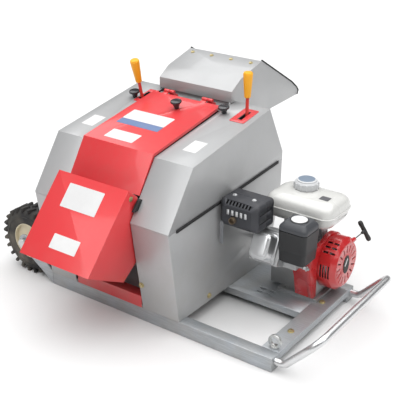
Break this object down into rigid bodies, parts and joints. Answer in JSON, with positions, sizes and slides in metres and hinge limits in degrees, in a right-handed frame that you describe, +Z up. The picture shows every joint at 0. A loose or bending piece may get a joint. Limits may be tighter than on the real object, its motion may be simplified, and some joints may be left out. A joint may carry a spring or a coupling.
{
  "type": "wood chipper",
  "caption": "Engine-driven drum wood chipper on a low steel sled frame with two wheels, lift handle, feed hopper, hinged cover and swing-up discharge hood.",
  "frame": {"origin": "centre of the machine's footprint box, on the ground", "axes": "+X from the wheels to the lift handle, +Y from the discharge hood to the feed hopper, +Z up"},
  "size_m": [1.3615, 1.249, 0.7884],
  "materials": {
    "galvanised": "dull zinc",
    "bright_tube": "polished",
    "zinc": "zinc plated",
    "yellow_zinc": "yellow zinc plated",
    "silver_paint": "semi-gloss paint",
    "chamber_paint": "semi-gloss paint",
    "red_paint": "gloss paint",
    "lever_red": "gloss paint",
    "grip_yellow": "soft moulding",
    "knob_black": "moulded",
    "black_rubber": "matt",
    "tyre_rubber": "matt",
    "rim_cream": "gloss paint",
    "machined_steel": "turned",
    "cast_iron": "as cast",
    "engine_alloy": "die cast",
    "valve_alloy": "satin",
    "engine_red": "gloss paint",
    "tank_white": "gloss paint",
    "cap_plastic": "moulded",
    "cleaner_black": "moulded",
    "muffler_black": "heat-proof paint",
    "grip_black": "moulded",
    "rope_black": "braided"
  },
  "bodies": {
    "frame": {"side_rails": "galvanised", "crossmembers": "galvanised", "engine_plate": "galvanised", "axle_brackets": "galvanised", "lift_handle": "bright_tube", "lifting_eye": "zinc", "hex_bolts": "yellow_zinc", "wheel_axle": "zinc", "right_housing": "silver_paint", "left_housing": "silver_paint", "right_cover": "silver_paint", "left_cover": "silver_paint", "rubber_strips": "black_rubber", "base_beam": "red_paint", "right_side_plate": "chamber_paint", "left_side_plate": "chamber_paint", "drum_shell": "chamber_paint", "feed_chute": "chamber_paint", "discharge_chute": "chamber_paint", "cover_hinges": "red_paint", "feed_hopper": "silver_paint", "mouth_trim": "black_rubber", "slot_plates": "red_paint", "shaft_bearings": "cast_iron", "drive_belt": "black_rubber", "crankcase": "engine_alloy", "engine_cylinder": "engine_alloy", "valve_cover": "valve_alloy", "fan_shroud": "engine_red", "recoil_cover": "engine_red", "fuel_tank": "tank_white", "air_cleaner": "cleaner_black", "muffler": "muffler_black", "carburettor": "engine_alloy"},
    "near_wheel": {"near_tyre": "tyre_rubber", "near_rim": "rim_cream"},
    "far_wheel": {"far_tyre": "tyre_rubber", "far_rim": "rim_cream"},
    "hood": {"discharge_hood": "red_paint"},
    "cover": {"centre_cover": "red_paint"},
    "centre_knob": {"centre_knob": "knob_black"},
    "right_knob": {"right_knob": "knob_black"},
    "left_knob": {"left_knob": "knob_black"},
    "clutch_lever": {"clutch_lever": "lever_red", "clutch_grip": "grip_yellow"},
    "feed_lever": {"feed_lever": "lever_red", "feed_grip": "grip_yellow"},
    "idler_arm": {"idler_arm": "machined_steel"},
    "idler_pulley": {"idler_pulley": "cast_iron"},
    "rotor": {"rotor_shaft": "machined_steel", "cutter_drum": "cast_iron", "drum_knives": "machined_steel", "rotor_pulley": "cast_iron"},
    "crank": {"crankshaft": "machined_steel", "engine_pulley": "cast_iron"},
    "feed_roller": {"feed_roller": "cast_iron"},
    "pull_grip": {"pull_grip": "grip_black", "starter_rope": "rope_black"},
    "fuel_cap": {"fuel_cap": "cap_plastic"},
    "throttle": {"throttle_lever": "machined_steel"}
  },
  "joints": [
    {"name": "near_wheel_spin", "type": "hinge", "parent": "frame", "child": "near_wheel", "pos_m": [-0.55075, -0.31554, 0.13], "axis": [0, 1, 0], "continuous": true},
    {"name": "far_wheel_spin", "type": "hinge", "parent": "frame", "child": "far_wheel", "pos_m": [-0.55075, 0.14746, 0.13], "axis": [0, 1, 0], "continuous": true},
    {"name": "hood_swing", "type": "hinge", "parent": "frame", "child": "hood", "pos_m": [-0.14025, -0.41254, 0.473], "axis": [-1, 0, 0], "range_deg": [0, 80]},
    {"name": "cover_lift", "type": "hinge", "parent": "frame", "child": "cover", "pos_m": [-0.14025, 0.09846, 0.65756], "axis": [-1, 0, 0], "range_deg": [0, 75]},
    {"name": "centre_knob_turn", "type": "hinge", "parent": "cover", "child": "centre_knob", "pos_m": [-0.12025, 0.00246, 0.63836], "axis": [0, -0.1563, 0.9877], "continuous": true},
    {"name": "right_knob_turn", "type": "hinge", "parent": "frame", "child": "right_knob", "pos_m": [0.03625, 0.06946, 0.63397], "axis": [0, -0.1563, 0.9877], "continuous": true},
    {"name": "left_knob_turn", "type": "hinge", "parent": "frame", "child": "left_knob", "pos_m": [-0.34075, 0.03946, 0.62922], "axis": [0, -0.1563, 0.9877], "continuous": true},
    {"name": "clutch_swing", "type": "hinge", "parent": "frame", "child": "clutch_lever", "pos_m": [0.11225, 0.09746, 0.5624], "axis": [1, 0, 0], "range_deg": [0, 26]},
    {"name": "idler_swing", "type": "hinge", "parent": "frame", "child": "idler_arm", "pos_m": [0.12025, 0.14194, 0.2889], "axis": [1, 0, 0], "range_deg": [0, 2.4]},
    {"name": "idler_spin", "type": "hinge", "parent": "idler_arm", "child": "idler_pulley", "pos_m": [0.09425, 0.07241, 0.33952], "axis": [1, 0, 0], "continuous": true},
    {"name": "feed_swing", "type": "hinge", "parent": "frame", "child": "feed_lever", "pos_m": [-0.31575, 0.06846, 0.56181], "axis": [-1, 0, 0], "range_deg": [0, 28]},
    {"name": "rotor_spin", "type": "hinge", "parent": "frame", "child": "rotor", "pos_m": [-0.14025, -0.10054, 0.33], "axis": [1, 0, 0], "continuous": true},
    {"name": "crank_spin", "type": "hinge", "parent": "frame", "child": "crank", "pos_m": [0.32225, 0.11646, 0.172], "axis": [1, 0, 0], "continuous": true},
    {"name": "roller_spin", "type": "hinge", "parent": "frame", "child": "feed_roller", "pos_m": [-0.14025, 0.11446, 0.48], "axis": [1, 0, 0], "continuous": true},
    {"name": "starter_pull", "type": "slide", "parent": "frame", "child": "pull_grip", "axis": [0, 1, 0], "range_m": [0, 0.6], "stiffness_N_per_m": 15},
    {"name": "cap_turn", "type": "hinge", "parent": "frame", "child": "fuel_cap", "pos_m": [0.35425, 0.10846, 0.44], "axis": [0, 0, 1], "range_deg": [0, 90]},
    {"name": "throttle_swing", "type": "hinge", "parent": "frame", "child": "throttle", "pos_m": [0.46375, -0.06154, 0.214], "axis": [1, 0, 0], "range_deg": [0, 30]}
  ],
  "couplings": [
    {"joint": "idler_swing", "follows": "clutch_swing", "ratio": 0.09},
    {"joint": "crank_spin", "follows": "rotor_spin", "ratio": 1.25}
  ]
}
